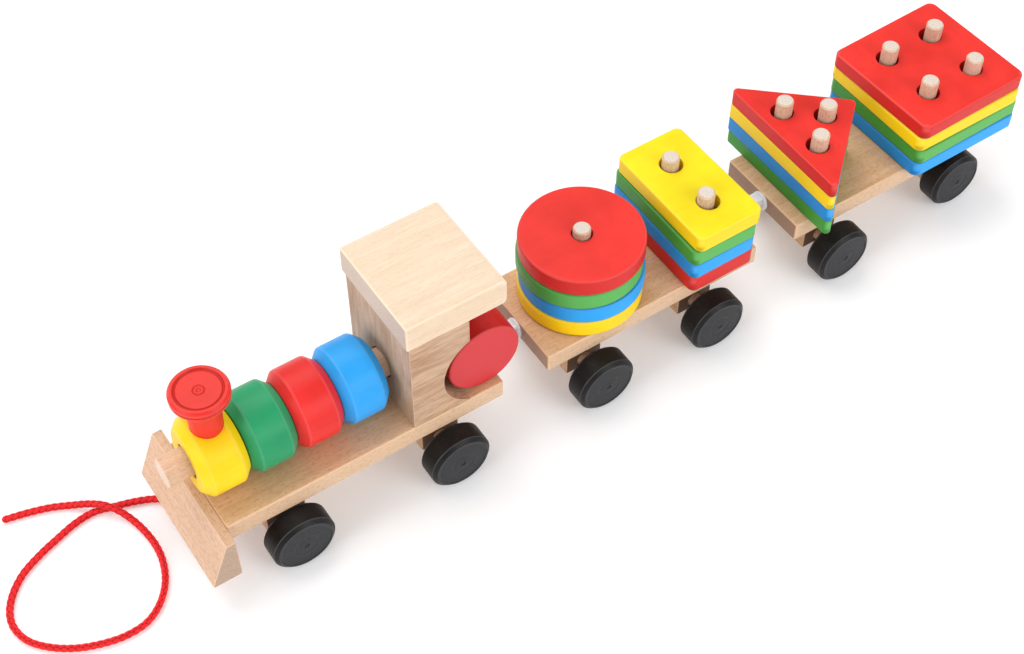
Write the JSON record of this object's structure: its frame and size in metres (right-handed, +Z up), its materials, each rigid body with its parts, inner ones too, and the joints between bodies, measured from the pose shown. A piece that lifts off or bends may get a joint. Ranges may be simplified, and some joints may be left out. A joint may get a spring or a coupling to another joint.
{
  "type": "pull along stacking toy train",
  "caption": "Wooden pull-along train: locomotive with stacking boiler rings and wagons with stacking shapes on pegs, joined by swivelling couplings, with a pull cord.",
  "frame": {"origin": "centre of the train's footprint on the floor, measured without the pull cord", "axes": "+X from the locomotive's nose to the last wagon, +Y to the train's far side, +Z up; floor at z = 0"},
  "size_m": [0.4675, 0.0864, 0.0975],
  "materials": {
    "wood": "sanded beech, fine grain, thin clear coat",
    "wood_pale": "sanded pale beech, fine grain, thin clear coat",
    "paint_red": "satin red paint on wood",
    "paint_yellow": "satin yellow paint on wood",
    "paint_green": "satin green paint on wood",
    "paint_blue": "satin blue paint on wood",
    "wheel_black": "satin black",
    "plastic_clear": "translucent white plastic",
    "cord_red": "braided polyester cord"
  },
  "bodies": {
    "locomotive": {"loco_deck": "wood", "front_bumper": "wood_pale", "loco_block_front": "wood", "loco_block_rear": "wood", "cab_body": "wood_pale", "cab_roof": "wood_pale", "boiler_rod": "wood_pale", "firebox_drum": "paint_red", "coupling_1_eye": "plastic_clear", "pull_cord": "cord_red"},
    "wagon_1": {"wagon_1_deck": "wood", "wagon_1_block_front": "wood", "wagon_1_block_rear": "wood", "disc_peg": "wood_pale", "rectangle_pegs": "wood_pale", "coupling_1_fork": "plastic_clear", "coupling_1_pin": "plastic_clear", "coupling_2_eye": "plastic_clear"},
    "wagon_2": {"wagon_2_deck": "wood", "wagon_2_block_front": "wood", "wagon_2_block_rear": "wood", "triangle_pegs": "wood_pale", "square_pegs": "wood_pale", "coupling_2_fork": "plastic_clear", "coupling_2_pin": "plastic_clear"},
    "loco_wheelset_front": {"loco_axle_front": "wood", "loco_wheels_front": "wheel_black"},
    "loco_wheelset_rear": {"loco_axle_rear": "wood", "loco_wheels_rear": "wheel_black"},
    "wagon_1_wheelset_front": {"wagon_1_axle_front": "wood", "wagon_1_wheels_front": "wheel_black"},
    "wagon_1_wheelset_rear": {"wagon_1_axle_rear": "wood", "wagon_1_wheels_rear": "wheel_black"},
    "wagon_2_wheelset_front": {"wagon_2_axle_front": "wood", "wagon_2_wheels_front": "wheel_black"},
    "wagon_2_wheelset_rear": {"wagon_2_axle_rear": "wood", "wagon_2_wheels_rear": "wheel_black"},
    "ring_blue": {"ring_blue": "paint_blue"},
    "ring_red": {"ring_red": "paint_red"},
    "ring_green": {"ring_green": "paint_green"},
    "ring_yellow": {"ring_yellow": "paint_yellow"},
    "chimney": {"chimney": "paint_red"},
    "disc_yellow": {"disc_yellow": "paint_yellow"},
    "disc_blue": {"disc_blue": "paint_blue"},
    "disc_green": {"disc_green": "paint_green"},
    "disc_red": {"disc_red": "paint_red"},
    "rectangle_red": {"rectangle_red": "paint_red"},
    "rectangle_blue": {"rectangle_blue": "paint_blue"},
    "rectangle_green": {"rectangle_green": "paint_green"},
    "rectangle_yellow": {"rectangle_yellow": "paint_yellow"},
    "triangle_green": {"triangle_green": "paint_green"},
    "triangle_blue": {"triangle_blue": "paint_blue"},
    "triangle_yellow": {"triangle_yellow": "paint_yellow"},
    "triangle_red": {"triangle_red": "paint_red"},
    "square_blue": {"square_blue": "paint_blue"},
    "square_green": {"square_green": "paint_green"},
    "square_yellow": {"square_yellow": "paint_yellow"},
    "square_red": {"square_red": "paint_red"}
  },
  "joints": [
    {"name": "loco_front_roll", "type": "hinge", "parent": "locomotive", "child": "loco_wheelset_front", "pos_m": [-0.1608, 0, 0.0133], "axis": [0, 1, 0], "continuous": true},
    {"name": "loco_rear_roll", "type": "hinge", "parent": "locomotive", "child": "loco_wheelset_rear", "pos_m": [-0.0914, 0, 0.0133], "axis": [0, 1, 0], "continuous": true},
    {"name": "wagon_1_front_roll", "type": "hinge", "parent": "wagon_1", "child": "wagon_1_wheelset_front", "pos_m": [-0.022, 0, 0.0133], "axis": [0, 1, 0], "continuous": true},
    {"name": "wagon_1_rear_roll", "type": "hinge", "parent": "wagon_1", "child": "wagon_1_wheelset_rear", "pos_m": [0.0347, 0, 0.0133], "axis": [0, 1, 0], "continuous": true},
    {"name": "wagon_2_front_roll", "type": "hinge", "parent": "wagon_2", "child": "wagon_2_wheelset_front", "pos_m": [0.1028, 0, 0.0133], "axis": [0, 1, 0], "continuous": true},
    {"name": "wagon_2_rear_roll", "type": "hinge", "parent": "wagon_2", "child": "wagon_2_wheelset_rear", "pos_m": [0.1734, 0, 0.0133], "axis": [0, 1, 0], "continuous": true},
    {"name": "coupling_1_yaw", "type": "hinge", "parent": "locomotive", "child": "wagon_1", "pos_m": [-0.0548, 0, 0.03165], "axis": [0, 0, 1], "range_deg": [-30, 30]},
    {"name": "coupling_2_yaw", "type": "hinge", "parent": "wagon_1", "child": "wagon_2", "pos_m": [0.071, 0, 0.03165], "axis": [0, 0, 1], "range_deg": [-30, 30]},
    {"name": "slide_ring_blue", "type": "slide", "parent": "locomotive", "child": "ring_blue", "axis": [-1, 0, 0], "range_m": [0, 0.092]},
    {"name": "slide_ring_red", "type": "slide", "parent": "ring_blue", "child": "ring_red", "axis": [-1, 0, 0], "range_m": [0, 0.072]},
    {"name": "slide_ring_green", "type": "slide", "parent": "ring_red", "child": "ring_green", "axis": [-1, 0, 0], "range_m": [0, 0.052]},
    {"name": "slide_ring_yellow", "type": "slide", "parent": "ring_green", "child": "ring_yellow", "axis": [-1, 0, 0], "range_m": [0, 0.032]},
    {"name": "lift_chimney", "type": "slide", "parent": "ring_yellow", "child": "chimney", "axis": [0, 0, 1], "range_m": [0, 0.01]},
    {"name": "lift_disc_yellow", "type": "slide", "parent": "wagon_1", "child": "disc_yellow", "axis": [0, 0, 1], "range_m": [0, 0.04]},
    {"name": "lift_disc_blue", "type": "slide", "parent": "disc_yellow", "child": "disc_blue", "axis": [0, 0, 1], "range_m": [0, 0.04]},
    {"name": "lift_disc_green", "type": "slide", "parent": "disc_blue", "child": "disc_green", "axis": [0, 0, 1], "range_m": [0, 0.04]},
    {"name": "lift_disc_red", "type": "slide", "parent": "disc_green", "child": "disc_red", "axis": [0, 0, 1], "range_m": [0, 0.04]},
    {"name": "lift_rectangle_red", "type": "slide", "parent": "wagon_1", "child": "rectangle_red", "axis": [0, 0, 1], "range_m": [0, 0.04]},
    {"name": "lift_rectangle_blue", "type": "slide", "parent": "rectangle_red", "child": "rectangle_blue", "axis": [0, 0, 1], "range_m": [0, 0.04]},
    {"name": "lift_rectangle_green", "type": "slide", "parent": "rectangle_blue", "child": "rectangle_green", "axis": [0, 0, 1], "range_m": [0, 0.04]},
    {"name": "lift_rectangle_yellow", "type": "slide", "parent": "rectangle_green", "child": "rectangle_yellow", "axis": [0, 0, 1], "range_m": [0, 0.04]},
    {"name": "lift_triangle_green", "type": "slide", "parent": "wagon_2", "child": "triangle_green", "axis": [0, 0, 1], "range_m": [0, 0.04]},
    {"name": "lift_triangle_blue", "type": "slide", "parent": "triangle_green", "child": "triangle_blue", "axis": [0, 0, 1], "range_m": [0, 0.04]},
    {"name": "lift_triangle_yellow", "type": "slide", "parent": "triangle_blue", "child": "triangle_yellow", "axis": [0, 0, 1], "range_m": [0, 0.04]},
    {"name": "lift_triangle_red", "type": "slide", "parent": "triangle_yellow", "child": "triangle_red", "axis": [0, 0, 1], "range_m": [0, 0.04]},
    {"name": "lift_square_blue", "type": "slide", "parent": "wagon_2", "child": "square_blue", "axis": [0, 0, 1], "range_m": [0, 0.04]},
    {"name": "lift_square_green", "type": "slide", "parent": "square_blue", "child": "square_green", "axis": [0, 0, 1], "range_m": [0, 0.04]},
    {"name": "lift_square_yellow", "type": "slide", "parent": "square_green", "child": "square_yellow", "axis": [0, 0, 1], "range_m": [0, 0.04]},
    {"name": "lift_square_red", "type": "slide", "parent": "square_yellow", "child": "square_red", "axis": [0, 0, 1], "range_m": [0, 0.04]}
  ]
}
